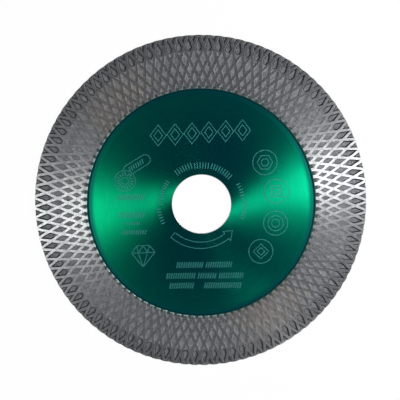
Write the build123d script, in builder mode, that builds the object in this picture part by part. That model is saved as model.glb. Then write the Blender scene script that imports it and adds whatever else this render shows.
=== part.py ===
from build123d import *
from math import acos, cos, degrees, pi, sin
import os

# An ultra-thin cut-and-grind diamond blade for a small angle grinder: one lacquered
# steel disc, a sintered diamond crown wrapped round its edge, and a thin sintered
# diamond mesh on each face for grinding. Millimetres. The blade turns about +Z, and
# the origin is the centre of the bore, half-way through the steel.

# The size that the blade is sold by
outer_diameter = 125.0
bore_diameter = 22.23
rim_thickness = 1.2
crown_height = 10.0

# Steel core
core_thickness = 0.8
core_reach = 4.4  # how far the steel runs into the crown
groove_width = 0.45  # ring groove at the foot of the grinding mesh
groove_depth = 0.12
band_width = 1.7  # shallow cone pressed into the face beside the groove
band_drop = 0.06

# Grinding mesh, measured inwards from the crown
mesh_height = 9.5

# Ribs: two mirrored sets of straight ribs, each along a tangent to one circle
rib_count = 100
rib_tangent_radius = 20.6
crown_rib_width = 0.85
mesh_rib_width = 1.1
first_row_inset = 4.0  # outer edge to the middle of the first closed row of pockets
arch_mouth_width = 1.1  # where the innermost row opens through the mesh's inner edge

# Pockets between the ribs
bond_skin = 0.05  # bond left over the steel on a pocket's floor
crown_web = 0.5  # bond left between two opposite deep pockets
edge_cover = 0.1  # bond between the steel's edge and a deep pocket

# Bond that locks the diamond rings to the steel
notch_count = 50
notch_width = 2.4
notch_depth = 2.0
key_count = 50
key_diameter = 2.5

# Places that follow
outer_radius = outer_diameter / 2
bore_radius = bore_diameter / 2
crown_inner_radius = outer_radius - crown_height
core_radius = crown_inner_radius + core_reach
mesh_inner_radius = crown_inner_radius - mesh_height
key_circle_radius = (crown_inner_radius + mesh_inner_radius) / 2
deep_inner_radius = core_radius + edge_cover

core_face = core_thickness / 2
rib_top = rim_thickness / 2
shallow_floor = core_face + bond_skin
deep_floor = crown_web / 2

rib_pitch = 2 * pi / rib_count
first_row_angle = acos(rib_tangent_radius / (outer_radius - first_row_inset))


def pocket_corners(row, rib_width):
    """Outer tip, side corner and inner tip of a pocket whose middle lies along +X.

    Row 0 is the first closed row, row -1 is cut open by the blade's edge, and the
    rows go on inwards from there.
    """
    middle = first_row_angle - row * rib_pitch / 2
    inner = middle - rib_pitch / 2
    outer = middle + rib_pitch / 2
    beyond = rib_tangent_radius + rib_width / 2
    before = rib_tangent_radius - rib_width / 2
    spread = sin(inner + outer)
    side_x = (beyond * sin(outer) + before * sin(inner)) / spread
    side_y = (before * cos(inner) - beyond * cos(outer)) / spread
    return before / cos(outer), (side_x, side_y), beyond / cos(inner)


def row_start_angle(row):
    """Each row stands half a pitch round from the one outside it."""
    return degrees(rib_pitch / 2) * (row % 2)


def closed_pocket(row, rib_width):
    outer_tip, (side_x, side_y), inner_tip = pocket_corners(row, rib_width)
    with BuildSketch() as pocket:
        with BuildLine():
            Polyline(
                (outer_tip, 0), (side_x, side_y), (inner_tip, 0), (side_x, -side_y), close=True
            )
        make_face()
    return pocket.sketch


def arch_pocket(row, rib_width):
    """A pocket of the innermost row, which runs out through the mesh's inner edge."""
    outer_tip, (side_x, side_y), inner_tip = pocket_corners(row, rib_width)
    mouth_x = min(inner_tip, mesh_inner_radius) - groove_width
    mouth_y = arch_mouth_width / 2
    with BuildSketch() as pocket:
        with BuildLine():
            Polyline(
                (outer_tip, 0), (side_x, side_y), (mouth_x, mouth_y),
                (mouth_x, -mouth_y), (side_x, -side_y), close=True,
            )
        make_face()
    return pocket.sketch


def ring_of_pockets(pocket, row):
    with BuildSketch() as ring:
        with PolarLocations(0, rib_count, start_angle=row_start_angle(row)):
            add(pocket)
    return ring.sketch


# Rows of pockets, from the one that the blade's edge cuts open to the arches at the foot
rows = [-1]
while pocket_corners(rows[-1] + 1, mesh_rib_width)[1][0] > mesh_inner_radius:
    rows.append(rows[-1] + 1)
arch_row = rows.pop()
crown_rows = [row for row in rows if pocket_corners(row, crown_rib_width)[0] > crown_inner_radius]
deep_rows = [row for row in rows if pocket_corners(row, crown_rib_width)[1][0] > deep_inner_radius]
mesh_rows = [row for row in rows if pocket_corners(row, mesh_rib_width)[2] < crown_inner_radius]


# Steel core: the upper half is turned, mirrored, then notched and drilled
with BuildPart() as steel_core:
    with BuildSketch(Plane.XZ):
        with BuildLine():
            Polyline(
                (bore_radius, 0),
                (core_radius, 0),
                (core_radius, core_face),
                (mesh_inner_radius, core_face),
                (mesh_inner_radius, core_face - groove_depth),
                (mesh_inner_radius - groove_width, core_face - groove_depth),
                (mesh_inner_radius - groove_width, core_face - band_drop),
                (mesh_inner_radius - groove_width - band_width, core_face),
                (bore_radius, core_face),
                close=True,
            )
        make_face()
    revolve(axis=Axis.Z)
    mirror(about=Plane.XY)
    with BuildSketch(Plane.XY.offset(-core_face)):
        with PolarLocations(core_radius, notch_count):
            Rectangle(2 * notch_depth, notch_width)
    extrude(amount=core_thickness, mode=Mode.SUBTRACT)
    with PolarLocations(key_circle_radius, key_count):
        Hole(key_diameter / 2)
steel_core.part.label = "steel_core"


# Bond keys: the plugs of bond in the core's holes, under the two grinding meshes
with BuildPart() as bond_keys:
    with PolarLocations(key_circle_radius, key_count):
        Cylinder(key_diameter / 2, core_thickness)
bond_keys.part.label = "bond_keys"


# Cutting crown: the upper half, with the room for the steel, then its pockets, mirrored
with BuildPart() as cutting_crown:
    with BuildSketch():
        Circle(outer_radius)
        Circle(crown_inner_radius, mode=Mode.SUBTRACT)
    extrude(amount=rib_top)
    add(steel_core.part, mode=Mode.SUBTRACT)
    with BuildSketch(Plane.XY.offset(shallow_floor)):
        for row in crown_rows:
            add(ring_of_pockets(closed_pocket(row, crown_rib_width), row))
        Circle(deep_inner_radius, mode=Mode.INTERSECT)
    extrude(amount=rib_top - shallow_floor, clean=False, mode=Mode.SUBTRACT)
    with BuildSketch(Plane.XY.offset(deep_floor)):
        for row in deep_rows:
            add(ring_of_pockets(closed_pocket(row, crown_rib_width), row))
        Circle(deep_inner_radius, mode=Mode.SUBTRACT)
    extrude(amount=rib_top - deep_floor, clean=False, mode=Mode.SUBTRACT)
    mirror(about=Plane.XY)
cutting_crown.part.label = "cutting_crown"


# Grinding meshes: a skin on each face of the steel, with the ribs raised on it
with BuildPart() as front_grinding_mesh:
    with BuildSketch(Plane.XY.offset(core_face)):
        Circle(crown_inner_radius)
        Circle(mesh_inner_radius, mode=Mode.SUBTRACT)
    extrude(amount=rib_top - core_face)
    with BuildSketch(Plane.XY.offset(shallow_floor)):
        for row in mesh_rows:
            add(ring_of_pockets(closed_pocket(row, mesh_rib_width), row))
        add(ring_of_pockets(arch_pocket(arch_row, mesh_rib_width), arch_row))
    extrude(amount=rib_top - shallow_floor, clean=False, mode=Mode.SUBTRACT)
front_grinding_mesh.part.label = "front_grinding_mesh"

with BuildPart() as back_grinding_mesh:
    add(mirror(front_grinding_mesh.part, about=Plane.XY, mode=Mode.PRIVATE), clean=False)
back_grinding_mesh.part.label = "back_grinding_mesh"


os.makedirs("parts", exist_ok=True)
for piece in (steel_core, bond_keys, cutting_crown, front_grinding_mesh, back_grinding_mesh):
    name = piece.part.label
    export_step(piece.part, f"parts/{name}.step")
    print(name, len(piece.part.solids()), "solids", round(piece.part.volume, 1), "mm3")
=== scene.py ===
# %% [markdown]
# # A thin diamond blade for tile, stone and concrete
#
# The real blade is a steel disc with a hard ring of metal powder and diamond pressed on to
# it. Two sets of straight ribs cross in that ring and leave rhombic pockets, which carry
# dust and water away. Everything here follows from that rule, so the ring is drawn once as
# a narrow wedge and then repeated round the axis.

# %% Load the frame and read the sizes
from math import acos, atan2, cos, pi, radians, sin, sqrt

import bmesh
import bpy
from mathutils import Matrix, Vector


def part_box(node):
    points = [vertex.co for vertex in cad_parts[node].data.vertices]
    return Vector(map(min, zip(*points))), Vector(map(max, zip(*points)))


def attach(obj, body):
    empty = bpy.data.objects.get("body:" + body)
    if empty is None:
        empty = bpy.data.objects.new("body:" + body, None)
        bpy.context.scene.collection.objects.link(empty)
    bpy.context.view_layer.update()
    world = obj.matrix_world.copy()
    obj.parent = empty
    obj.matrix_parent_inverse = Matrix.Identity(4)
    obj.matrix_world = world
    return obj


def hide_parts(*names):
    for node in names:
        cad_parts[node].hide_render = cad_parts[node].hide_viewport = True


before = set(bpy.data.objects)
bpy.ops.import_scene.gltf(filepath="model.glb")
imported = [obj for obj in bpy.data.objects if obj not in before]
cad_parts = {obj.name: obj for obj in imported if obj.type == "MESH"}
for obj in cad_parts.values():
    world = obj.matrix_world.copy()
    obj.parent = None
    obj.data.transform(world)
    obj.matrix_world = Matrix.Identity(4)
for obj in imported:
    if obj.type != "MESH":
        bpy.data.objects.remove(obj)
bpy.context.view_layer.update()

MM = 0.001
rim_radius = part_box("cutting_crown")[1][0]
rib_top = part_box("cutting_crown")[1][2]
seam_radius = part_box("front_grinding_mesh")[1][0]
core_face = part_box("steel_core")[1][2]
core_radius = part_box("steel_core")[1][0]


def inner_radius(node):
    """The radius of the hole through a ring-shaped node."""
    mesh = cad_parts[node].data
    return min(Vector((v.co.x, v.co.y)).length for v in mesh.vertices)


bore_radius = inner_radius("steel_core")
foot_radius = inner_radius("front_grinding_mesh")
key_inner_radius = inner_radius("bond_keys")
key_outer_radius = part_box("bond_keys")[1][0]
steel_edge = core_radius - 0.3 * MM
print("rim", rim_radius, "seam", seam_radius, "foot", foot_radius, "bore", bore_radius)
print("keys from", key_inner_radius, "to", key_outer_radius)

# %% [markdown]
# ## Camera
#
# The blade lies flat and is looked at from almost straight above. The camera leans a few
# degrees, so that the far edge is a touch smaller than the near one.

# %% Camera
view_distance = 3.2 * rim_radius
view_lean = radians(5.36)
lean_heading = radians(102.5)
view_roll = radians(1.1)
focal_length = 47.62
aim = Vector((-0.578 * MM, 1.605 * MM, rib_top))


def new_object(name, data):
    """Puts an object in the scene, at the origin."""
    thing = bpy.data.objects.new(name, data)
    bpy.context.scene.collection.objects.link(thing)
    return thing


def look_at(thing, target, up=Vector((0, 1, 0))):
    """Points a camera or a lamp at a target, with the top of its view along `up`."""
    back = (thing.location - target).normalized()
    right = up.cross(back).normalized()
    turn = Matrix((right, back.cross(right), back)).transposed()
    thing.rotation_euler = turn.to_euler()


camera = new_object("camera", bpy.data.cameras.new("camera"))
camera.data.lens = focal_length
camera.location = view_distance * Vector((
    sin(view_lean) * cos(lean_heading), sin(view_lean) * sin(lean_heading), cos(view_lean)
))
look_at(camera, aim, Vector((sin(view_roll), cos(view_roll), 0)))
bpy.context.scene.camera = camera
print("camera at", tuple(round(c, 4) for c in camera.location))

# %% [markdown]
# ## The rib pattern
#
# Each rib runs along a tangent of one small circle round the bore, half of them leaning
# one way and half the other. Two neighbouring ribs of each set enclose a kite-shaped
# pocket. A line that stands off the rib's middle by some distance has a simple equation,
# so the kite's corners come from a formula.

# %% Rib pattern
rib_count = 100
rib_tangent_radius = 20.75 * MM
first_row_inset = 4.23 * MM
crown_rib_width = 0.85 * MM
mesh_rib_width = 0.98 * MM
middle_rib_width = 0.87 * MM
inner_rib_width = 0.92 * MM
rib_pitch = 2 * pi / rib_count
first_row_angle = acos(rib_tangent_radius / (rim_radius - first_row_inset))


def kite(row, stand_off):
    """Outer tip, side corner and inner tip of a row's kite, its middle line along +X."""
    middle = first_row_angle - row * rib_pitch / 2
    inner, outer = middle - rib_pitch / 2, middle + rib_pitch / 2
    beyond = rib_tangent_radius + stand_off
    before = rib_tangent_radius - stand_off
    spread = sin(inner + outer)
    side = Vector((
        (beyond * sin(outer) + before * sin(inner)) / spread,
        (before * cos(inner) - beyond * cos(outer)) / spread,
    ))
    return Vector((before / cos(outer), 0)), side, Vector((beyond / cos(inner), 0))


first_pocket = kite(0, crown_rib_width / 2)
print("first closed pocket", [tuple(round(c / MM, 2) for c in p) for p in first_pocket])

# %% [markdown]
# ## One half pocket
#
# A pocket is a stack of outlines: the rib's edge, the same edge a little lower where wear
# has rounded it, and the foot of the sloping wall. Each outline has the same few points
# with rounded corners, so quads join one to the next. Only the half above the middle line
# is drawn, because the other half is its mirror image.
#
# The bond's ribs end a few hundredths of a millimetre below the blade's full thickness,
# because the diamond grains stand that much proud of them.

# %% Outlines of a half pocket
grain_stand = 0.03 * MM
bond_top = rib_top - grain_stand
bond_rim = rim_radius - grain_stand
corner_round = 0.22 * MM
edge_wear = 0.05 * MM


def tip_setback(along):
    """How far a rounded tip lies back from the sharp one."""
    return Vector((corner_round * (1 / abs(along.x) - abs(along.y / along.x)), 0))


def rounded_half(row, stand_off):
    """Points from the outer tip round the side corner to the inner tip, corners rounded."""
    outer, side, inner = kite(row, stand_off)
    from_outer = (side - outer).normalized()
    from_inner = (side - inner).normalized()
    cut = corner_round * (from_outer + from_inner)
    return [
        outer - tip_setback(from_outer),
        outer + corner_round * from_outer,
        side - corner_round * from_outer,
        (2 * side - cut) / 2 + cut / 4,
        side - corner_round * from_inner,
        inner + corner_round * from_inner,
        inner + tip_setback(from_inner),
    ]


def at_height(points, height):
    return [Vector((p.x, p.y, height)) for p in points]


def band_faces(upper, lower):
    """Quads between two outlines with the same number of points."""
    return [
        (upper[i], upper[i + 1], lower[i + 1], lower[i]) for i in range(len(upper) - 1)
    ]


def outer_rib_faces(outer, side, edge):
    """The flat rib top round a pocket's outer tip and side corner."""
    return [
        (outer, edge[1], edge[0]), (outer, side, edge[2], edge[1]),
        (side, edge[3], edge[2]), (side, edge[4], edge[3]),
    ]


def rib_faces(row, edge):
    """The flat rib top between the ribs' middle lines and a closed pocket's edge."""
    outer, side, inner = at_height(kite(row, 0), bond_top)
    last = len(edge) - 2
    return outer_rib_faces(outer, side, edge) + [
        (side, inner, edge[last]) + tuple(reversed(edge[4:last])),
        (inner, edge[last + 1], edge[last]),
    ]


def stacked(outline, rib_width, floor, wall_run):
    """An outline at the rib's top, at the foot of its worn edge and at the pocket's floor."""
    edge = at_height(outline(rib_width / 2), bond_top)
    worn = at_height(outline(rib_width / 2 + edge_wear), bond_top - edge_wear)
    foot = at_height(outline(rib_width / 2 + wall_run), floor)
    return edge, worn, foot


def flat_pocket(row, rib_width, floor, wall_run):
    """A pocket with one level floor."""
    edge, worn, foot = stacked(lambda off: rounded_half(row, off), rib_width, floor, wall_run)
    return rib_faces(row, edge) + band_faces(edge, worn) + band_faces(worn, foot) + [tuple(foot)]


print("an outline has", len(rounded_half(0, crown_rib_width / 2)), "points")

# %% [markdown]
# ### Two special pockets
#
# The first closed row lies over the steel's edge, so its floor drops at a step, and each
# side of the step has a floor of its own. The next row has a slight step too. The innermost
# row has no inner tip at all: it opens between two stems.

# %% Pocket with a step
def at_radius(start, end, radius):
    """The point between start and end that lies that far from the axis."""
    low, high, halvings = 0.0, 1.0, 40
    for _ in range(halvings):
        half = (low + high) / 2
        if start.lerp(end, half).length > radius:
            low = half
        else:
            high = half
    return start.lerp(end, low)


def stepped_pocket(row, rib_width, step_radius, step_run, floors, runs, hook=0.0):
    """A pocket whose floor drops at a step: deep outside it and shallow inside.

    `floors` and `runs` give the floor's height and the wall's run, outside and inside.
    The step meets the walls further out than it crosses the middle, by `hook`.
    """
    outer_floor, inner_floor = floors
    outer_run, inner_run = runs

    def with_crossing(stand_off, radius, height):
        points = rounded_half(row, stand_off)
        points.insert(5, at_radius(points[4], points[5], radius))
        return at_height(points, height)

    def across(run, height):
        """The step's own line, from half way to the wall to the pocket's middle."""
        points = []
        for share, out in ((0.5, 0.25 * hook + run), (0, run)):
            angle = share * atan2(brink.y, brink.x)
            reach = step_radius + out
            points.append(Vector((reach * cos(angle), reach * sin(angle), height)))
        return points

    at_wall = step_radius + hook
    edge = with_crossing(rib_width / 2, at_wall, bond_top)
    worn = with_crossing(rib_width / 2 + edge_wear, at_wall, bond_top - edge_wear)
    deep = with_crossing(rib_width / 2 + outer_run, at_wall + step_run, outer_floor)
    shallow = at_height(rounded_half(row, rib_width / 2 + inner_run), inner_floor)
    share = (worn[5].z - inner_floor) / (worn[5].z - outer_floor)
    brink = worn[5].lerp(deep[5], share)
    brink_line = across(0.0, inner_floor)
    deep_line = across(step_run, outer_floor)
    return rib_faces(row, edge) + band_faces(edge, worn) + band_faces(worn[:5], deep[:5]) + [
        (worn[4], worn[5], brink, deep[5], deep[4]),
        (worn[5], worn[6], shallow[5], brink), (worn[6], worn[7], shallow[6], shallow[5]),
    ] + band_faces([brink] + brink_line, [deep[5]] + deep_line) + [
        tuple(deep[:6] + deep_line),
        (brink, shallow[5], shallow[6], brink_line[1], brink_line[0]),
    ]


# %% Pocket with an open mouth
def arch_pocket(row, rib_width, floor, wall_run, mouth_width):
    """A pocket of the innermost row, open towards the bore between two stems."""
    mouth_radius = foot_radius - mesh_rib_width

    def outline(stand_off):
        mouth = Vector((mouth_radius, mouth_width / 2 - (stand_off - rib_width / 2)))
        side = kite(row, stand_off)[1]
        down = (mouth - side).normalized()
        return rounded_half(row, stand_off)[:4] + [side + corner_round * down, mouth]

    edge, worn, foot = stacked(outline, rib_width, floor, wall_run)
    outer, side, _ = at_height(kite(row, 0), bond_top)
    stem_foot = side * (mouth_radius / Vector((side.x, side.y)).length)
    stem_foot.z = bond_top
    mouth_middle = Vector((edge[5].x, 0, floor))
    return outer_rib_faces(outer, side, edge) + [(side, stem_foot, edge[5], edge[4])] + (
        band_faces(edge, worn) + band_faces(worn, foot) + [tuple(foot) + (mouth_middle,)])


# %% [markdown]
# ## A wedge of the ring
#
# Rows are staggered by half a pitch, so a wedge half a pitch wide holds half a pocket of
# each row, in turn along its lower and its upper side. It is trimmed by straight cuts
# where the ring begins and ends, closed, mirrored and handed to Geometry Nodes, which
# repeats it round the axis.

# %% Wedge helpers
half_pitch = rib_pitch / 2
trim_normal = Vector((cos(half_pitch / 2), sin(half_pitch / 2), 0))
WELD = 0.2e-3 * MM


def wedge_mesh(rows):
    """All the rows' half pockets, welded. Odd rows lie along the wedge's upper side."""
    upper_side = Matrix.Rotation(half_pitch, 3, "Z") @ Matrix.Diagonal((1, -1, 1))
    bm = bmesh.new()
    for row, faces in rows.items():
        for face in faces:
            corners = [upper_side @ p for p in reversed(face)] if row % 2 else face
            bm.faces.new([bm.verts.new(p) for p in corners])
    bmesh.ops.remove_doubles(bm, verts=bm.verts, dist=WELD)
    return bm


def everything(bm):
    return bm.verts[:] + bm.edges[:] + bm.faces[:]


def only(things, kind):
    return [thing for thing in things if isinstance(thing, kind)]


def trim(bm, radius, keep_inside):
    """Cuts the wedge along the chord of a circle and drops one side. Returns the cut edges."""
    normal = trim_normal if keep_inside else -trim_normal
    point = trim_normal * radius * cos(half_pitch / 2)
    bmesh.ops.bisect_plane(
        bm, geom=everything(bm), dist=WELD, plane_co=point, plane_no=normal, clear_outer=True
    )
    return [
        e for e in bm.edges
        if all(abs((v.co - point).dot(normal)) < 2 * WELD for v in e.verts)
    ]


def pull(bm, edges, place):
    """Extrudes a row of edges and moves the new points to where `place` says."""
    made = bmesh.ops.extrude_edge_only(bm, edges=edges)["geom"]
    for v in only(made, bmesh.types.BMVert):
        v.co = place(v.co)
    return only(made, bmesh.types.BMEdge)


def to_height(height, grow=1.0):
    """A move straight up or down to a height, and in or out by a factor."""
    return lambda p: Vector((p.x * grow, p.y * grow, height))


def close_under(bm, one_row, other_row):
    """One face between two rows of edges that lie at the same height."""
    def by_angle(edges):
        return sorted({v for e in edges for v in e.verts}, key=lambda v: atan2(v.co.y, v.co.x))

    bm.faces.new(by_angle(one_row) + by_angle(other_row)[::-1])


def add_mirror(bm, scale):
    """Adds the mirror image of the wedge and welds the two."""
    copied = bmesh.ops.duplicate(bm, geom=everything(bm))["geom"]
    bmesh.ops.scale(bm, vec=scale, verts=only(copied, bmesh.types.BMVert))
    bmesh.ops.reverse_faces(bm, faces=only(copied, bmesh.types.BMFace))
    bmesh.ops.remove_doubles(bm, verts=bm.verts, dist=WELD)


def new_piece(name, bm):
    """Turns a bmesh into an object at the origin.

    The cuts above leave points and faces in an order that differs from run to run, and a
    random scatter follows that order. So both are put in a fixed order first.
    """
    points = sorted(bm.verts, key=lambda v: tuple(v.co))
    number = {v: i for i, v in enumerate(points)}
    faces = []
    for face in bm.faces:
        corners = [number[v] for v in face.verts]
        first = corners.index(min(corners))
        faces.append(corners[first:] + corners[:first])
    mesh = bpy.data.meshes.new(name)
    mesh.from_pydata([tuple(v.co) for v in points], [], sorted(faces))
    bm.free()
    return new_object(name, mesh)


# %% [markdown]
# ## Repeating the wedge
#
# The node tree makes one point for each copy, puts the wedge on every point, turned by
# its share of a full circle, and welds the seams. Pressed powder is never perfectly even,
# so a soft noise then shifts the ribs sideways by a few hundredths of a millimetre.
# Realize Instances turns the copies into real mesh, and Set Material gives them the finish.

# %% Node helpers
def connect(tree, node, inputs):
    """Links a node's input where it gets a socket, and sets it where it gets a value."""
    for key, value in inputs.items():
        if isinstance(value, bpy.types.NodeSocket):
            tree.links.new(value, node.inputs[key])
        else:
            node.inputs[key].default_value = value
    return node


def add_node(tree, kind, inputs=None, **settings):
    """Adds a node, sets its options, and links or sets its inputs."""
    node = tree.nodes.new(kind)
    for name, value in settings.items():
        setattr(node, name, value)
    return connect(tree, node, inputs or {})


def result(tree, kind, inputs=None, output=0, **settings):
    """Adds a node in the same way, but gives one of its results."""
    return add_node(tree, kind, inputs, **settings).outputs[output]


def new_result(kind, inputs, **settings):
    """The same again, in the tree that the first linked input belongs to."""
    tree = next(v.id_data for v in inputs.values() if isinstance(v, bpy.types.NodeSocket))
    return result(tree, kind, inputs, **settings)


def calculate(operation, *values):
    return new_result("ShaderNodeMath", dict(enumerate(values)), operation=operation)


def product(value, *factors):
    for factor in factors:
        value = calculate("MULTIPLY", value, factor)
    return value


def total(first, second):
    return calculate("ADD", first, second)


def vector_result(operation, *values, scale=None):
    """A Vector Math node's result."""
    inputs = dict(enumerate(values))
    if scale is not None:
        inputs["Scale"] = scale
    output = "Value" if operation in ("LENGTH", "DOT_PRODUCT") else "Vector"
    return new_result("ShaderNodeVectorMath", inputs, output=output, operation=operation)


def flattened(place):
    """A place without its height, and its distance from the axis."""
    flat = vector_result("MULTIPLY", place, (1, 1, 0))
    return flat, vector_result("LENGTH", flat)


def parts(vector):
    return add_node(vector.id_data, "ShaderNodeSeparateXYZ", {0: vector}).outputs


def together(**values):
    """A vector from its parts X, Y and Z."""
    return new_result("ShaderNodeCombineXYZ", values)


def between(value, low, high, at_low=0.0, at_high=1.0):
    """A Map Range node: how far the value has come from low to high."""
    inputs = {0: value, 1: low, 2: high, 3: at_low, 4: at_high}
    return new_result("ShaderNodeMapRange", inputs)


def new_tree(name, inputs):
    tree = bpy.data.node_groups.new(name, "GeometryNodeTree")
    for label, kind in inputs.items():
        tree.interface.new_socket(label, in_out="INPUT", socket_type="NodeSocket" + kind)
    tree.interface.new_socket("Result", in_out="OUTPUT", socket_type="NodeSocketGeometry")
    return tree, add_node(tree, "NodeGroupInput").outputs


def on_points(points, shape, turn, **scale):
    """Puts a shape on every point, turned by a vector of angles."""
    return new_result("GeometryNodeInstanceOnPoints", {
        "Points": points, "Instance": shape,
        "Rotation": new_result("FunctionNodeEulerToRotation", {0: turn}), **scale,
    })


def finish_tree(tree, instances, material, tidy=None):
    """Ends a tree in Realize Instances and Set Material."""
    real = new_result("GeometryNodeRealizeInstances", {0: instances})
    if tidy:
        real = tidy(tree, real)
    finished = new_result("GeometryNodeSetMaterial", {"Geometry": real, "Material": material})
    add_node(tree, "NodeGroupOutput", {0: finished})
    print(tree.name, len(tree.nodes), "nodes")
    return tree


def run_tree(thing, tree, values):
    """Runs a node tree on an object, takes the result as plain mesh, drops the modifier."""
    modifier = thing.modifiers.new(tree.name, "NODES")
    modifier.node_group = tree
    for socket in tree.interface.items_tree:
        if socket.in_out == "INPUT" and socket.name in values:
            modifier[socket.identifier] = values[socket.name]
    evaluated = thing.evaluated_get(bpy.context.evaluated_depsgraph_get())
    mesh = bpy.data.meshes.new_from_object(evaluated)
    thing.modifiers.clear()
    mesh.name = thing.name
    print(thing.name, len(mesh.polygons), "faces")
    return mesh


# %% The ring tree
tree, ring_in = new_tree("repeat round the axis", {
    "Wedge": "Geometry", "Copies": "Int", "Weld Distance": "Float", "Sway": "Float",
    "Finish": "Material",
})
points = new_result("GeometryNodePoints", {"Count": ring_in["Copies"]})
index = result(tree, "GeometryNodeInputIndex")
share = calculate("DIVIDE", index, ring_in["Copies"])
turn = together(Z=product(share, 2 * pi))
wedges = on_points(points, ring_in["Wedge"], turn)
sway_fade = 1.5 * MM
sway_size = 1.7 * MM


def weld_and_sway(tree, geometry):
    """Welds the seams, then lets the ribs wander a little, but not at the rim or the foot."""
    welded = new_result("GeometryNodeMergeByDistance", {
        "Geometry": geometry, "Distance": ring_in["Weld Distance"],
    })
    flat, reach = flattened(result(tree, "GeometryNodeInputPosition"))
    inside = between(reach, bond_rim, bond_rim - sway_fade)
    outside = between(reach, foot_radius, foot_radius + sway_fade)
    clouds = new_result("ShaderNodeTexNoise", {
        "Vector": flat, "Scale": 1 / sway_size, "Detail": 2.0,
    }, output="Color")
    centred = vector_result("SUBTRACT", clouds, (0.5, 0.5, 0.5))
    sideways = vector_result("MULTIPLY", centred, (1, 1, 0))
    amount = product(inside, outside, ring_in["Sway"])
    offset = vector_result("SCALE", sideways, scale=amount)
    return new_result("GeometryNodeSetPosition", {"Geometry": welded, "Offset": offset})


ring_tree = finish_tree(tree, wedges, ring_in["Finish"], weld_and_sway)


# %% Round the axis, then shaded
weld_distance = 0.001 * MM
LEVEL = 0.9995


def crisp_shading(piece, degrees=32):
    """Smooth shading, but level faces stay flat and edges sharper than the angle stay crisp."""
    bm = bmesh.new()
    bm.from_mesh(piece.data)
    for face in bm.faces:
        face.smooth = True
    for edge in bm.edges:
        level = [abs(face.normal.z) > LEVEL for face in edge.link_faces]
        edge.smooth = all(level) or not any(level)
        if edge.smooth and len(level) == 2:
            edge.smooth = edge.calc_face_angle() < radians(degrees)
    bm.to_mesh(piece.data)
    bm.free()


def repeat_round(piece, copies, sway, finish):
    """Repeats a wedge round the axis and shades the result."""
    piece.data = run_tree(piece, ring_tree, {
        "Copies": copies, "Weld Distance": weld_distance, "Sway": sway, "Finish": finish,
    })
    crisp_shading(piece)


# %% [markdown]
# ## Finishes
#
# All the patterns follow the blade itself, so every finish starts from Object coordinates
# in millimetres, and from the distance to the axis. Marks left by turning and grinding run
# round the axis: a noise that is squeezed along the radius and drawn out round the circle
# gives such streaks without a seam.

# %% Material helpers
def new_material(name):
    material = bpy.data.materials.new(name)
    material.use_nodes = True
    return material, material.node_tree


def paint(material, inputs):
    """Sets or links the shader's own inputs."""
    tree = material.node_tree
    connect(tree, tree.nodes["Principled BSDF"], inputs)
    print(material.name, len(tree.nodes), "nodes")


def disc_coordinates(tree):
    """Position in millimetres, the same without its height, the radius and the way outwards."""
    place = result(tree, "ShaderNodeTexCoord", output="Object")
    millimetres = vector_result("SCALE", place, scale=1 / MM)
    flat, radius = flattened(millimetres)
    return millimetres, flat, radius, vector_result("NORMALIZE", flat)


def noise(vector, size, detail=2.0, roughness=0.5):
    """Noise whose blobs are about `size` millimetres across."""
    return new_result("ShaderNodeTexNoise", {
        "Vector": vector, "Scale": 1 / size, "Detail": detail, "Roughness": roughness,
    }, output="Fac")


def streaks(radius, outward, width, round_count, seed):
    """Fine marks that run round the axis. `round_count` sets how soon one ends."""
    round_part = vector_result("SCALE", outward, scale=round_count)
    squeezed = together(Z=calculate("DIVIDE", radius, width))
    pattern = vector_result("ADD", round_part, squeezed)
    pattern = vector_result("ADD", pattern, (seed, 2 * seed, 3 * seed))
    return noise(pattern, 1.0, detail=3.0)


def blended(first, share, second):
    """Two patterns added up, the first with its share and the second with the rest."""
    return total(product(first, share), product(second, 1 - share))


def leaning(outward, way):
    """How far the way outwards agrees with another one: 1 along it, -1 against it."""
    return vector_result("DOT_PRODUCT", outward, way)


def mix_value(factor, first, second):
    return new_result("ShaderNodeMix", {0: factor, 2: first, 3: second})


def mix_colour(factor, first, second, blend="MIX"):
    inputs = {0: factor, 6: first, 7: second}
    return new_result("ShaderNodeMix", inputs, output=2, data_type="RGBA", blend_type=blend)


def coated(colour, *coats):
    """Lays coats over a colour. Each has a mask for where it shows, and its own colour."""
    for mask, coat in coats:
        colour = mix_colour(mask, colour, coat)
    return colour


def bump(height, distance, below=None):
    inputs = {"Height": height, "Distance": distance, "Strength": 1.0}
    if below is not None:
        inputs["Normal"] = below
    return new_result("ShaderNodeBump", inputs)


# %% [markdown]
# ### Green lacquer over brushed steel
#
# The disc is brushed while it turns and then gets a thin, clear green lacquer. A tinted
# metal with an anisotropic highlight shows exactly that: two bright fans that sweep round
# as the light moves. The brush came in at a slant near the bore, so the fans bend there.
# The lacquer is darker towards the bore, most of all to its left: painted shade that dims the
# fans there. It is darker along the pressed band too. The groove is dark with dirt, and painted
# shade reaches a little past it. A painted warm tint over the left half matches the left fan's
# light. At the very edge of the bore the steel is bare.

# %% Where the lacquer changes
green_lacquer, tree = new_material("green lacquer on brushed steel")
_, flat, radius, outward = disc_coordinates(tree)
foot_mm, bore_mm = foot_radius / MM, bore_radius / MM
fine = streaks(radius, outward, 0.22, 9, 3.1)
broad = streaks(radius, outward, 1.1, 5, 8.7)
brushing = blended(fine, 0.6, broad)
cloudy = between(noise(flat, 9.0), 0.35, 0.65, 0.0, 0.3)
leftwards = leaning(outward, (-1, 0, 0))
left_half = between(leftwards, 0.0, 0.8)
# Painted shade: darker lacquer towards the bore, and more on the bore's left, dimming the fans
# there.
bore_shade = between(radius, 24.0, 39.5, 0.36, 0.0)
left_bore_shade = product(between(leftwards, 0.8, 0.98), between(radius, 18.0, 15.5, 0.0, 0.4))
on_band = between(radius, foot_mm - 2.6, foot_mm - 1.5)
# Dirt in the groove, and painted shade that reaches a little past it.
groove_dirt_and_shade = between(radius, foot_mm - 0.8, foot_mm - 0.5)
ragged_radius = total(radius, product(fine, 0.25))
at_bore = between(ragged_radius, bore_mm + 0.34, bore_mm + 0.2)

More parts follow.
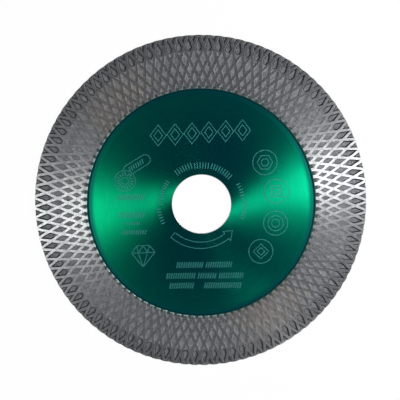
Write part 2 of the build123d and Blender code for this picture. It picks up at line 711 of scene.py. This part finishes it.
# %% Green lacquer
dark_green, light_green = (0.001, 0.32, 0.136, 1), (0.002, 0.475, 0.21, 1)
cloud_green, left_fan_tint = (0.001, 0.30, 0.155, 1), (1.0, 1.0, 0.87, 1)
painted_shade_green, groove_dirt_and_shade_green = (0.0, 0.04, 0.02, 1), (0.002, 0.04, 0.024, 1)
band_green, bare_steel = (0.004, 0.13, 0.095, 1), (0.42, 0.44, 0.43, 1)
band_dullness, groove_dullness = 0.44, 0.75
slant_radius, slant_fall, full_slant = 12.5, 1.6, 0.45

lacquer = mix_colour(between(brushing, 0.3, 0.7), dark_green, light_green)
lacquer = mix_colour(cloudy, lacquer, cloud_green)
# A painted tint of the left fan's light over the left half.
lacquer = mix_colour(left_half, lacquer, left_fan_tint, "MULTIPLY")
lacquer = coated(
    lacquer, (bore_shade, painted_shade_green), (left_bore_shade, painted_shade_green),
    (product(on_band, 0.88), band_green), (groove_dirt_and_shade, groove_dirt_and_shade_green), (at_bore, bare_steel),
)
dull = between(brushing, 0.3, 0.7, 0.42, 0.33)
dull = mix_value(groove_dirt_and_shade, mix_value(on_band, dull, band_dullness), groove_dullness)
stretched = between(radius, 15.0, 38.0, 0.86, 0.78)
slant = calculate("POWER", calculate("DIVIDE", slant_radius, radius), slant_fall)
brush_lay = new_result("ShaderNodeVectorRotate", {
    "Vector": outward, "Angle": product(slant, full_slant),
}, rotation_type="Z_AXIS")
paint(green_lacquer, {
    "Base Color": lacquer, "Metallic": 1.0, "Roughness": dull,
    "Anisotropic": mix_value(on_band, stretched, 0.4), "Tangent": brush_lay,
    "Sheen Weight": 0.055, "Sheen Roughness": 1.0, "Sheen Tint": (0.0, 0.35, 1.0, 1),
    "Normal": bump(brushing, 0.004 * MM),
})

# %% [markdown]
# ### Bond: sintered metal powder
#
# The bond is pressed metal powder. Its rib tops are ground, so they are brighter, smoother
# and marked round the axis, while the pockets keep the dull, grainy skin of the press. The
# height of a point tells the two apart. Two ragged patches are tinted warmer, and the powder
# gives a fine mottle. Painted shade darkens the pockets' walls, the deep floors and the open
# mouths, and a painted highlight lightens the stems' ends on one side.

# %% Where the bond changes
# A pair of numbers is a range in millimetres, of height over the middle plane or of radius.
top_mm = bond_top / MM
ground_heights, worn_heights = (top_mm - 0.022, top_mm - 0.008), (top_mm - 0.052, top_mm - 0.04)
deep_wall_foot, shallow_wall_foot, wall_head = (0.14, 0.17), (0.462, 0.48), (0.525, 0.495)
mouth_heights, stem_heights = (0.49, 0.47), (0.45, 0.47)
mouth_radii, stem_radii = (foot_mm + 1.5, foot_mm + 0.9), (foot_mm + 0.5, foot_mm + 0.36)
step_radii, deep_floor_radii, warm_radii = (56.5, 56.65), (56.2, 56.7), (66.0, 50.0)
warm_patches = ((127, (1.11, 1.03, 0.95, 1)), (301, (1.02, 0.93, 0.86, 1)))
scratch_grey, painted_depth_shade = (0.25, 0.25, 0.25, 1), (0.02, 0.023, 0.04, 1)
painted_wall_shade, worn_grey = (0.012, 0.012, 0.014, 1), (0.42, 0.42, 0.425, 1)
mouth_shade_green, stem_highlight_green = (0.004, 0.04, 0.03, 1), (0.46, 0.70, 0.63, 1)


def rib_masks(height, wander):
    """Where a rib's top is ground, and where its edge is worn."""
    normal = result(height.id_data, "ShaderNodeNewGeometry", output="True Normal")
    level = between(calculate("ABSOLUTE", parts(normal)["Z"]), 0.9, 0.98)
    height = total(height, wander)
    ground = product(between(height, *ground_heights), level)
    worn_edge = product(between(height, *worn_heights), calculate("SUBTRACT", 0.8, level))
    return ground, worn_edge


def wall_shade_mask(radius, height, wander):
    """Painted shade on the walls: dark in the deep pockets, half as dark in the shallow ones."""
    height = total(height, product(wander, 2.0))
    under_edge = between(height, *wall_head)
    deep_wall = product(between(height, *deep_wall_foot), under_edge, between(radius, *step_radii))
    shallow_wall = product(between(height, *shallow_wall_foot), under_edge, 0.5)
    return calculate("MAXIMUM", deep_wall, shallow_wall)


def foot_masks(radius, height, outward):
    """Painted shade over the lacquer in the open mouths, and a painted highlight on the stems'
    ends towards the lower left.
    """
    mouth = product(between(radius, *mouth_radii), between(height, *mouth_heights), 0.9)
    lit_side = leaning(outward, (-0.86, -0.5, 0))
    lit_stem_end = product(
        between(radius, *stem_radii), between(height, *stem_heights), between(lit_side, 0.1, 0.9)
    )
    return mouth, lit_stem_end


def warmed(colour, patches, radius, outward):
    """Tints the bond on ragged patches, each with its heading in degrees."""
    ragged = product(calculate("SUBTRACT", patches, 0.5), 0.22)
    for heading, tint in warm_patches:
        way = (cos(radians(heading)), sin(radians(heading)), 0)
        reach = total(leaning(outward, way), ragged)
        warm = product(between(reach, 0.945, 0.985), between(radius, *warm_radii))
        colour = mix_colour(warm, colour, tint, "MULTIPLY")
    return colour


# %% Bond
def bond_material(name, top_tones, pocket_tones, polish, seed):
    """A finish from two tones of the rib tops and two of the pockets."""
    material, tree = new_material(name)
    place, flat, radius, outward = disc_coordinates(tree)
    height = calculate("ABSOLUTE", parts(place)["Z"])
    shifted = vector_result("ADD", place, (seed, seed, seed))
    powder = noise(shifted, 0.55, detail=4.0, roughness=0.62)
    scratches = streaks(radius, outward, 0.25, 30, seed)
    wander = product(calculate("SUBTRACT", powder, 0.5), 0.03)
    ground, worn_edge = rib_masks(height, wander)
    mouth, lit_stem_end = foot_masks(radius, height, outward)
    mottle = between(blended(powder, 0.7, noise(shifted, 2.2)), 0.41, 0.59)
    top = coated(
        mix_colour(mottle, *top_tones),
        (between(scratches, 0.35, 0.65, 0.25, 0.0), scratch_grey),
    )
    pocket = coated(
        mix_colour(mottle, *pocket_tones),
        # Painted shade on the deep floors beyond the step, and on the walls.
        (between(radius, *deep_floor_radii, 0.0, 0.16), painted_depth_shade),
        (wall_shade_mask(radius, height, wander), painted_wall_shade),
        # Painted shade in the open mouths, and a painted highlight on the stems' ends.
        (worn_edge, worn_grey), (mouth, mouth_shade_green), (lit_stem_end, stem_highlight_green),
    )
    colour = mix_colour(ground, pocket, top)
    matt, metal = mix_value(lit_stem_end, 0.72, 0.42), mix_value(lit_stem_end, 0.12, 0.66)
    worn = between(mottle, 0.0, 1.0, 0.4, 0.365)
    grain = bump(powder, mix_value(ground, 0.03 * MM, 0.005 * MM))
    paint(material, {
        "Base Color": warmed(colour, noise(flat, 4.0), radius, outward),
        "Roughness": mix_value(ground, matt, worn),
        "Metallic": mix_value(ground, metal, polish),
        "Anisotropic": mix_value(ground, 0.0, 0.69), "Tangent": outward,
        "Normal": bump(scratches, 0.003 * MM, grain),
    })
    return material


crown_bond = bond_material(
    "crown bond", ((0.345, 0.345, 0.355, 1), (0.605, 0.605, 0.62, 1)),
    ((0.104, 0.104, 0.108, 1), (0.24, 0.24, 0.248, 1)), polish=0.87, seed=5.0,
)
mesh_bond = bond_material(
    "mesh bond", ((0.44, 0.44, 0.445, 1), (0.78, 0.78, 0.785, 1)),
    ((0.108, 0.108, 0.11, 1), (0.25, 0.25, 0.253, 1)), polish=0.92, seed=23.0,
)
key_bond = bond_material(
    "key bond", ((0.34, 0.34, 0.34, 1), (0.56, 0.56, 0.56, 1)),
    ((0.12, 0.12, 0.12, 1), (0.28, 0.28, 0.28, 1)), polish=0.85, seed=41.0,
)

# %% [markdown]
# ## The cutting crown
#
# The crown is the outer ring, as thick as the cut it makes. Beyond the steel's edge its
# pockets are deep, so the bond is thin there; over the steel they are shallow. The steel's
# edge shows as a step across each pocket of the first closed row.

# %% Cutting crown
shallow_floor = core_face + 0.05 * MM
deep_floor = 0.13 * MM
flush_floor = bond_top - 0.03 * MM
deep_run = 0.48 * MM
shallow_run = 0.33 * MM
edge_step = {
    "step_radius": steel_edge + 0.05 * MM, "step_run": 0.24 * MM, "hook": 0.4 * MM,
    "floors": (deep_floor, flush_floor), "runs": (deep_run, 0.1 * MM),
}
slight_step = {
    "step_radius": 54.45 * MM, "step_run": 0.03 * MM,
    "floors": (core_face + 0.02 * MM, shallow_floor + 0.01 * MM),
    "runs": (shallow_run + 0.04 * MM, shallow_run),
}
rib_sway = 0.08 * MM

bm = wedge_mesh({
    -1: flat_pocket(-1, crown_rib_width, deep_floor, deep_run),
    0: stepped_pocket(0, crown_rib_width, **edge_step),
    1: stepped_pocket(1, crown_rib_width, **slight_step),
    2: flat_pocket(2, middle_rib_width, shallow_floor, shallow_run),
})
pull(bm, trim(bm, bond_rim, keep_inside=True), to_height(0))
under_edges = pull(bm, trim(bm, seam_radius, keep_inside=False), to_height(core_face))
wall_edges = pull(bm, under_edges, to_height(core_face, grow=steel_edge / seam_radius))
pull(bm, wall_edges, to_height(0))
add_mirror(bm, (1, 1, -1))
add_mirror(bm, (1, -1, 1))
crown = new_piece("crown", bm)
repeat_round(crown, rib_count, rib_sway, crown_bond)

# %% [markdown]
# ## The grinding meshes
#
# A thin skin on each face of the steel carries the same ribs inwards. Its innermost row is
# open towards the bore, so the ribs end there in short stems with a worn edge.

# %% Grinding meshes
mouth_width = 1.35 * MM
bm = wedge_mesh({
    1: flat_pocket(1, crown_rib_width, shallow_floor, shallow_run),
    2: flat_pocket(2, middle_rib_width, shallow_floor, shallow_run),
    3: flat_pocket(3, inner_rib_width, shallow_floor, shallow_run),
    4: arch_pocket(4, mesh_rib_width, shallow_floor, shallow_run, mouth_width),
})
outer_edges = trim(bm, seam_radius, keep_inside=True)
foot_slope = ((0.36 * MM, 1.0), (0.2 * MM, 0.6), (0.0, 0.1))
foot_edges = trim(bm, foot_radius + foot_slope[0][0], keep_inside=False)


def down_the_slope(step):
    """Moves a point of the stems' end one step inwards and down."""
    (run, height), (next_run, next_height) = foot_slope[step:step + 2]
    shrink = (foot_radius + next_run) / (foot_radius + run)
    sink = next_height / height
    return lambda p: Vector((p.x * shrink, p.y * shrink, core_face + (p.z - core_face) * sink))


for step in (0, 1):
    foot_edges = pull(bm, foot_edges, down_the_slope(step))
on_steel = to_height(core_face)
close_under(bm, pull(bm, outer_edges, on_steel), pull(bm, foot_edges, on_steel))
bmesh.ops.recalc_face_normals(bm, faces=bm.faces)
add_mirror(bm, (1, -1, 1))
front_mesh = new_piece("front_mesh", bm)
repeat_round(front_mesh, rib_count, rib_sway, mesh_bond)

# %% The back's grinding mesh
back_mesh = new_object("back_mesh", front_mesh.data.copy())
back_mesh.data.transform(Matrix.Diagonal((1, 1, -1, 1)))
back_mesh.data.flip_normals()
print("back_mesh", len(back_mesh.data.polygons), "faces")

# %% [markdown]
# ## The steel core
#
# The core is a turned disc: a bore with broken edges, a shallow band pressed into each
# face and a groove beside it, where the grinding mesh begins. Holes and notches under the
# bond lock the two together. One wedge of it holds half a hole and half a notch, and the
# same node tree repeats that.

# %% The turned profile
lock_count = 50
half_lock = pi / lock_count
arc_steps = 4
bore_bevel = 0.1 * MM
groove_width = 0.45 * MM
groove_floor = core_face - 0.12 * MM
band_foot = core_face - 0.06 * MM
band_width = 1.7 * MM
soft_edge = 0.03 * MM

plain_rings = 20 * MM, 30 * MM

groove_start = foot_radius - groove_width
profile = [
    (bore_radius, 0), (bore_radius, core_face - bore_bevel), (bore_radius + bore_bevel, core_face),
    *((radius, core_face) for radius in plain_rings), (groove_start - band_width, core_face),
    (groove_start - soft_edge, band_foot), (groove_start, band_foot - soft_edge),
    (groove_start + soft_edge, groove_floor), (foot_radius - soft_edge, groove_floor),
    (foot_radius, groove_floor + soft_edge), (foot_radius, core_face),
]


def on_circle(radius, angle, height):
    return Vector((radius * cos(angle), radius * sin(angle), height))


def add_band(bm, upper, lower, closed=False):
    """Adds quads between two rows of points. A closed row ends where it starts."""
    if closed:
        upper, lower = upper + upper[:1], lower + lower[:1]
    for quad in band_faces(upper, lower):
        bm.faces.new(quad)


def turned(bm, profile, angles, closed=False):
    """Turns a profile of radii and heights round the axis. Returns its rings of points."""
    rings = [[bm.verts.new(on_circle(r, a, z)) for a in angles] for r, z in profile]
    for ring_before, ring_after in zip(rings, rings[1:]):
        add_band(bm, ring_after, ring_before, closed)
    return rings


bm = bmesh.new()
core_rings = turned(bm, profile, [half_lock * i / arc_steps for i in range(arc_steps + 1)])
print("core's profile", len(bm.faces), "faces")

# %% Holes and notches
notch_depth = 2.0 * MM
notch_half_width = 1.2 * MM
hole_steps = 8
edge_steps = 3
key_radius = (key_outer_radius - key_inner_radius) / 2
key_middle = (key_outer_radius + key_inner_radius) / 2
hole = [
    bm.verts.new((key_middle - key_radius * cos(pi * i / hole_steps),
                  key_radius * sin(pi * i / hole_steps), core_face))
    for i in range(hole_steps + 1)
]
notch_corner = Vector((sqrt(steel_edge ** 2 - notch_half_width ** 2), notch_half_width, core_face))
notch = [bm.verts.new(p) for p in (
    (steel_edge - notch_depth, 0, core_face),
    (steel_edge - notch_depth, notch_half_width, core_face), notch_corner,
)]
first_angle = atan2(notch_corner.y, notch_corner.x)
edge_arc = [
    bm.verts.new(on_circle(
        steel_edge, first_angle + (half_lock - first_angle) * i / edge_steps, core_face))
    for i in range(1, edge_steps + 1)
]
bm.faces.new(hole + notch + edge_arc + core_rings[-1][::-1])
for loop in (hole, notch + edge_arc):
    add_band(bm, [bm.verts.new((v.co.x, v.co.y, 0)) for v in loop], loop)
add_mirror(bm, (1, 1, -1))
add_mirror(bm, (1, -1, 1))
core = new_piece("core", bm)
repeat_round(core, lock_count, 0.0, green_lacquer)

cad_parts["bond_keys"].material_slots[0].material = key_bond

# %% [markdown]
# ## Diamond grains
#
# The bond carries diamond grains, one to three tenths of a millimetre across. In the
# pockets they stand out of the bond; on the ribs they are ground almost flush. A node tree
# scatters small faceted balls over the bond, squashes and turns each one differently, and
# then pushes back whatever would stand outside the blade's full thickness or radius.

# %% The grain tree
tree, grain_in = new_tree("scatter grains", {
    "Bed": "Geometry", "Grains Per Area": "Float", "Smallest": "Float", "Largest": "Float",
    "Seed": "Int", "Finish": "Material",
})


def grain_place(tree):
    """A point's own height, its place without that height, and its distance from the axis."""
    place = result(tree, "GeometryNodeInputPosition")
    return parts(place)["Z"], *flattened(place)


def random_vector(tree, low, high, seed):
    inputs = {0: (low,) * 3, 1: (high,) * 3, "Seed": seed}
    return result(tree, "FunctionNodeRandomValue", inputs, data_type="FLOAT_VECTOR")


z, _, reach = grain_place(tree)
in_sight = calculate(
    "MAXIMUM",
    calculate("GREATER_THAN", calculate("ABSOLUTE", z), core_face + 0.02 * MM),
    calculate("GREATER_THAN", reach, steel_edge + 0.05 * MM),
)
scatter = new_result("GeometryNodeDistributePointsOnFaces", {
    "Mesh": grain_in["Bed"], "Selection": in_sight, "Density": grain_in["Grains Per Area"],
    "Seed": grain_in["Seed"],
}, distribute_method="RANDOM")
ball = result(tree, "GeometryNodeMeshIcoSphere", {"Radius": 1.0, "Subdivisions": 1})
size = new_result("FunctionNodeRandomValue", {
    2: grain_in["Smallest"], 3: grain_in["Largest"], "Seed": grain_in["Seed"],
}, output=1, data_type="FLOAT")
squash = random_vector(tree, 0.7, 1.0, seed=5)
tumble = random_vector(tree, 0.0, 2 * pi, seed=11)
grains = on_points(scatter, ball, tumble, Scale=vector_result("SCALE", squash, scale=size))


def grind_back(tree, geometry):
    """Pushes every point back inside the blade's own thickness and radius."""
    z, flat, reach = grain_place(tree)
    shrink = calculate("DIVIDE", rim_radius, reach)
    limit = calculate("MINIMUM", shrink, 1.0)
    inside = parts(vector_result("SCALE", flat, scale=limit))
    ground = new_result("ShaderNodeClamp", {0: z, 1: -rib_top, 2: rib_top})
    return new_result("GeometryNodeSetPosition", {
        "Geometry": geometry, "Position": together(X=inside[0], Y=inside[1], Z=ground),
    })


grain_tree = finish_tree(tree, grains, grain_in["Finish"], grind_back)

# %% [markdown]
# ### The grains' finish
#
# Man-made grains come in dull yellow, green, brown and grey, and a film of metal from the
# bond clouds them. The cells of colour are larger than a grain, so most grains get one
# tone, and a fine noise gives the film.

# %% Diamond finish
diamond, tree = new_material("diamond grain")
place = disc_coordinates(tree)[0]
cells = new_result("ShaderNodeTexVoronoi", {"Vector": place, "Scale": 2.2}, output="Color")
ramp = add_node(tree, "ShaderNodeValToRGB", {0: parts(cells)[0]})
stops = ramp.color_ramp.elements
stops[0].color = (0.10, 0.10, 0.09, 1)
stops[1].color = (0.42, 0.42, 0.40, 1)
for position, tone in ((0.25, (0.30, 0.30, 0.29, 1)), (0.45, (0.34, 0.29, 0.14, 1)),
                       (0.62, (0.16, 0.21, 0.13, 1)), (0.8, (0.30, 0.15, 0.10, 1))):
    stops.new(position).color = tone
film = noise(place, 0.12)
filmed = between(film, 0.4, 0.7, 0.0, 0.5)
paint(diamond, {
    "Base Color": mix_colour(filmed, ramp.outputs[0], (0.2, 0.2, 0.2, 1)), "IOR": 1.6,
    "Roughness": between(film, 0.3, 0.7, 0.38, 0.6), "Normal": bump(film, 0.01 * MM),
})


# %% Grains on each bed
grain_sizes = {
    "Grains Per Area": 0.55 / MM ** 2, "Smallest": 0.06 * MM, "Largest": 0.14 * MM,
    "Finish": diamond,
}


def grains_on(bed, name, seed):
    """A piece with grains scattered over another piece."""
    piece = new_object(name, bed.data.copy())
    piece.data = run_tree(piece, grain_tree, {**grain_sizes, "Seed": seed})
    return piece


crown_grains = grains_on(crown, "crown_grains", 2)
front_grains = grains_on(front_mesh, "front_grains", 3)
back_grains = grains_on(back_mesh, "back_grains", 4)

# %% [markdown]
# ## Marks etched in the lacquer
#
# A laser takes the lacquer off in thin lines, and the dull steel shows. The layout keeps
# to plain ornament: a row of lozenges, four ringed shapes, a bar and a hoop, hatching, a cut
# stone and the arrow for the way the blade turns. An outline is a ribbon a few hundredths
# of a millimetre thick with mitred corners, and hatching is one stroke repeated along a
# line by Geometry Nodes.

# %% Etched steel
etched_steel, tree = new_material("etched steel")
melt = noise(disc_coordinates(tree)[0], 0.5, detail=3.0, roughness=0.7)
melted = between(melt, 0.3, 0.7)
paint(etched_steel, {
    "Base Color": mix_colour(melted, (0.018, 0.17, 0.155, 1), (0.035, 0.29, 0.265, 1)),
    "Metallic": 0.3, "Roughness": between(melt, 0.3, 0.7, 0.6, 0.5),
    "Normal": bump(melt, 0.01 * MM),
})

# %% Outlines
etch_top = core_face + 0.008 * MM
etch_bottom = core_face - 0.02 * MM
etch_width = 0.26
sharpest_mitre = 0.35
layout_turn = Matrix.Rotation(radians(-1.1), 2)
layout_shift = Vector((-0.31, 0.02))


def laid_out(point):
    """A point of the layout, which was drawn in millimetres and sits a little turned."""
    return (layout_turn @ Vector(point) + layout_shift) * MM


def left_of(way):
    return Vector((-way.y, way.x))


def etch(bm, points, closed=True):
    """Adds a thin ribbon along points in millimetres, its corners mitred."""
    points = [laid_out(p) for p in points]
    count = len(points)
    legs = [(points[(i + 1) % count] - points[i]).normalized() for i in range(count)]
    rails = []
    for i, point in enumerate(points):
        before = legs[0] if i == 0 and not closed else legs[i - 1]
        after = legs[i - 1] if i == count - 1 and not closed else legs[i]
        across = left_of((before + after).normalized())
        mitre = 1 / max(sharpest_mitre, across.dot(left_of(before)))
        shift = across * (etch_width * MM / 2 * mitre)
        rails.append([bm.verts.new((p.x, p.y, z)) for p, z in (
            (point + shift, etch_top), (point - shift, etch_top),
            (point - shift, etch_bottom), (point + shift, etch_bottom))])
    pairs = list(zip(rails, rails[1:])) + ([(rails[-1], rails[0])] if closed else [])
    for start, end in pairs:
        add_band(bm, start, end, closed=True)
    if not closed:
        bm.faces.new(rails[0][::-1])
        bm.faces.new(rails[-1])


def polar(middle, radius, degrees):
    angle = radians(degrees)
    return middle[0] + radius * cos(angle), middle[1] + radius * sin(angle)


def arc(middle, radius, start, end, steps):
    """Points along an arc, the angles in degrees."""
    return [polar(middle, radius, start + (end - start) * i / steps) for i in range(steps + 1)]


def ring(middle, radius, sides, turn=0.0):
    """A regular outline of any number of sides."""
    return arc(middle, radius, turn, turn + 360, sides)[:-1]


def lozenge(middle, half_width, half_height):
    x, y = middle
    return [(x + half_width, y), (x, y + half_height), (x - half_width, y), (x, y - half_height)]


# %% Lozenges and ringed shapes
bm = bmesh.new()
for i in range(6):
    middle = (-15.9 + 6.3 * i, 25.7 + 0.4 * i)
    etch(bm, lozenge(middle, 3.0, 3.9))
    etch(bm, lozenge(middle, 1.6, 2.1))

ringed = (((24.1, 15.7), 6, 0), ((28.6, 4.8), 4, 45), ((28.4, -7.3), 24, 0), ((22.9, -18.1), 4, 0))
for middle, sides, turn in ringed:
    for radius, count, start in ((4.6, 48, 0.0), (2.9, sides, turn), (1.5, sides, turn)):
        etch(bm, ring(middle, radius, count, start))
print("lozenges and ringed shapes", len(bm.faces), "faces")

# %% Turning arrow
centre = (0, 0)
arrow_in, arrow_out, barb = 14.5, 16.9, 1.1
arrow_start, arrow_end, arrow_tip = 228, 309, 320
etch(bm, [
    *arc(centre, arrow_out, arrow_start, arrow_end, 28),
    polar(centre, arrow_out + barb, arrow_end),
    polar(centre, (arrow_in + arrow_out) / 2, arrow_tip),
    polar(centre, arrow_in - barb, arrow_end),
    *arc(centre, arrow_in, arrow_end, arrow_start, 28),
])
print("with the arrow", len(bm.faces), "faces")

# %% Cut stone, bar and hoop
stone = [(-26.2, -18.7), (-24.2, -15.8), (-19.4, -15.6), (-17.4, -18.3), (-21.9, -24.0)]
girdle_left, girdle_right, table_middle = (-23.7, -18.6), (-20.2, -18.4), (-21.9, -15.7)
etch(bm, stone)
for facet in (
    [stone[0], girdle_left, girdle_right, stone[3]], [girdle_left, stone[4], girdle_right],
    [stone[1], girdle_left, table_middle, girdle_right, stone[2]],
):
    etch(bm, facet, closed=False)
bar_low, bar_high, bar_half = Vector((-27.0, 12.9)), Vector((-20.8, 16.7)), 1.9
lean = (bar_high - bar_low).angle_signed(Vector((1, 0))) * 180 / pi
etch(bm, [
    *arc(bar_high, bar_half, lean - 90, lean + 90, 12),
    *arc(bar_low, bar_half, lean + 90, lean + 270, 12),
])
hoop_middle = (-28.4, 8.8)
etch(bm, ring(hoop_middle, 3.9, 40))
etch(bm, ring(hoop_middle, 1.3, 20))
bmesh.ops.recalc_face_normals(bm, faces=bm.faces)
etched_outlines = new_piece("etched_outlines", bm)
etched_outlines.data.materials.append(etched_steel)
print("outlines", len(etched_outlines.data.polygons), "faces")

# %% The hatching tree
tree, stroke_in = new_tree("strokes along lines", {
    "Lines": "Geometry", "Pitch": "Float", "Width": "Float", "Slant": "Float",
    "Finish": "Material",
})
steps = new_result("GeometryNodeResampleCurve", {
    "Curve": stroke_in["Lines"], "Length": stroke_in["Pitch"],
}, mode="LENGTH")
tangent = parts(result(tree, "GeometryNodeInputTangent"))
heading = total(stroke_in["Slant"], calculate("ARCTAN2", tangent["Y"], tangent["X"]))
stroke = new_result("GeometryNodeMeshCube", {
    "Size": together(X=stroke_in["Width"], Y=1.0, Z=etch_top - etch_bottom),
})
half_length = result(tree, "GeometryNodeInputRadius")
strokes = on_points(
    steps, stroke, together(Z=heading),
    Scale=together(X=1.0, Y=product(half_length, 2.0), Z=1.0),
)
stroke_tree = finish_tree(tree, strokes, stroke_in["Finish"])


# %% Hatching along lines
stroke_width = 0.36 * MM
stroke_slant = radians(-14)
straight_pitch, round_pitch = 0.82 * MM, 0.98 * MM


def hatching(name, lines, pitch, slant):
    """Strokes along lines, each given by its points and half a stroke's length in mm."""
    curve = bpy.data.curves.new(name, "CURVE")
    curve.dimensions = "3D"
    for points, half_length in lines:
        spline = curve.splines.new("POLY")
        spline.points.add(len(points) - 1)
        for target, point in zip(spline.points, points):
            target.co = (*laid_out(point), (etch_top + etch_bottom) / 2, 1)
            target.radius = half_length * MM
    path = new_object(name, curve)
    mesh = run_tree(path, stroke_tree, {
        "Pitch": pitch, "Width": stroke_width, "Slant": slant, "Finish": etched_steel,
    })
    bpy.data.objects.remove(path)
    return new_object(name, mesh)


rows = [
    ([(-31.2, 2.6), (-21.5, 2.7)], 1.1), ([(-30.5, -4.1), (-21.5, -4.0)], 1.15),
    ([(-27.7, -7.4), (-23.3, -7.3)], 0.55), ([(-29.4, -10.7), (-20.9, -10.6)], 0.85),
    ([(-8.9, -23.3), (0.6, -23.2)], 1.15), ([(2.2, -23.2), (11.6, -23.1)], 1.15),
    ([(-12.8, -27.5), (-2.4, -27.4)], 1.15), ([(-0.8, -27.4), (5.6, -27.4)], 1.15),
    ([(7.2, -27.4), (16.0, -27.3)], 1.15),
    ([(-11.6, -31.3), (-3.0, -31.2)], 1.15), ([(1.6, -31.2), (15.2, -31.1)], 1.15),
    ([(-26.6, 13.1), (-21.8, 16.1)], 0.9),
]
straight_hatching = hatching("straight_hatching", rows, straight_pitch, stroke_slant)
arcs = [(arc(middle, radius, start, end, count), half_length)
        for middle, radius, start, end, count, half_length in (
    (centre, 14.9, 128, 104, 10, 1.15), (centre, 14.6, 99, 79, 10, 1.15),
    (centre, 14.9, 74, 43, 10, 1.15), (centre, 15.1, 146, 180, 12, 0.8),
    (centre, 15.9, 187, 207, 12, 0.8), (centre, 16.0, 28, 8, 12, 0.8),
    (centre, 16.6, 2, -19, 12, 0.8), (hoop_middle, 2.6, 40, 380, 24, 0.65),
)]
round_hatching = hatching("round_hatching", arcs, round_pitch, 0.0)

# %% [markdown]
# ## Fitting the pieces to the frame
#
# The blade has no joints, so every piece rides on the one body. Four pieces take the place
# of plain shapes. The grains and the etched lines are extra. The bond keys stay hidden inside
# the steel, so their plain shape is kept and only gets its finish.

# %% Ride and replace
for piece, node, finish in (
    (core, "steel_core", "lacquered_steel"),
    (crown, "cutting_crown", "crown_bond"),
    (front_mesh, "front_grinding_mesh", "mesh_bond"),
    (back_mesh, "back_grinding_mesh", "mesh_bond"),
    (crown_grains, None, "crown_bond"),
    (front_grains, None, "mesh_bond"),
    (back_grains, None, "mesh_bond"),
    (etched_outlines, None, "lacquered_steel"),
    (straight_hatching, None, "lacquered_steel"),
    (round_hatching, None, "lacquered_steel"),
):
    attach(piece, "root")
    if node:
        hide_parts(node)
    print(piece.name, "replaces" if node else "is extra", node or "")

# %% [markdown]
# ## Floor
#
# A pale floor with an upturned edge stands in for studio paper. The camera and shiny
# surfaces see it as plain white, while diffuse light sees ordinary paper, so that the
# floor brightens the blade no more than real paper would.

# %% Floor
floor_sides = 96
floor_profile = [(4.1, 2.2), (4.0, 1.1), (3.7, 0.5), (3.2, 0.12), (2.6, 0.0)]
bm = bmesh.new()
sides = [2 * pi * i / floor_sides for i in range(floor_sides)]
floor_rings = turned(bm, [(r, z - rib_top) for r, z in floor_profile], sides, closed=True)
bm.faces.new(floor_rings[-1])
floor = new_piece("floor", bm)
crisp_shading(floor)

# %% Paper
floor_mat = bpy.data.materials.new("floor")
floor_mat.use_nodes = True
tree = floor_mat.node_tree
tree.nodes.clear()
rays = add_node(tree, "ShaderNodeLightPath").outputs
mirrored = calculate("MAXIMUM", rays["Is Glossy Ray"], rays["Is Transmission Ray"])
seen = calculate("MAXIMUM", rays["Is Camera Ray"], mirrored)
seen = product(seen, 0.97)
paper = result(tree, "ShaderNodeBsdfDiffuse", {"Color": (0.85, 0.85, 0.85, 1)})
white = result(tree, "ShaderNodeEmission", {"Strength": 1.0})
blend = new_result("ShaderNodeMixShader", {0: seen, 1: paper, 2: white})
add_node(tree, "ShaderNodeOutputMaterial", {0: blend})
floor.data.materials.append(floor_mat)
print("floor", len(floor.data.polygons), "faces")


# %% [markdown]
# ## Light
#
# Brushed metal mirrors a lamp only where the brush marks run across the way to it, so the
# lamps' headings decide where the fans stand. A low softbox on the right is the strongest:
# it throws the walls that face left into shadow. A higher one on the left makes the second
# fan, and a faint one below softens the lower edge.

# %% Lamps
def softbox(name, azimuth, elevation, distance, size, power, colour):
    data = bpy.data.lights.new(name, "AREA")
    data.shape = "RECTANGLE"
    data.size, data.size_y = size
    data.energy = power
    data.color = colour
    lamp = new_object(name, data)
    lamp.visible_camera = False
    a, e = radians(azimuth), radians(elevation)
    lamp.location = distance * Vector((cos(a) * cos(e), sin(a) * cos(e), sin(e)))
    look_at(lamp, Vector((0, 0, 0)))
    print(name, "at", tuple(round(c, 3) for c in lamp.location))


softbox("right softbox", 6.5, 31, 0.3, (0.05, 0.085), power=1.13, colour=(0.95, 0.98, 1.0))
softbox("low softbox", -61, 45, 0.25, (0.05, 0.025), power=0.0145, colour=(0.95, 0.98, 1.0))
softbox("left softbox", 191.6, 47, 0.4, (0.09, 0.115), power=0.565, colour=(0.955, 0.995, 0.975))

# %% The room's own light
world = bpy.data.worlds.new("world")
bpy.context.scene.world = world
world.use_nodes = True
tree = world.node_tree
up = parts(result(tree, "ShaderNodeTexCoord", output="Generated"))["Z"]
high = between(up, 0.35, 0.85)
sky = mix_colour(high, (0.070, 0.070, 0.073, 1), (0.030, 0.034, 0.053, 1))
connect(tree, tree.nodes["Background"], {"Color": sky, "Strength": 1.0})
bpy.context.scene.view_settings.view_transform = "Standard"
print("room light", len(tree.nodes), "nodes")
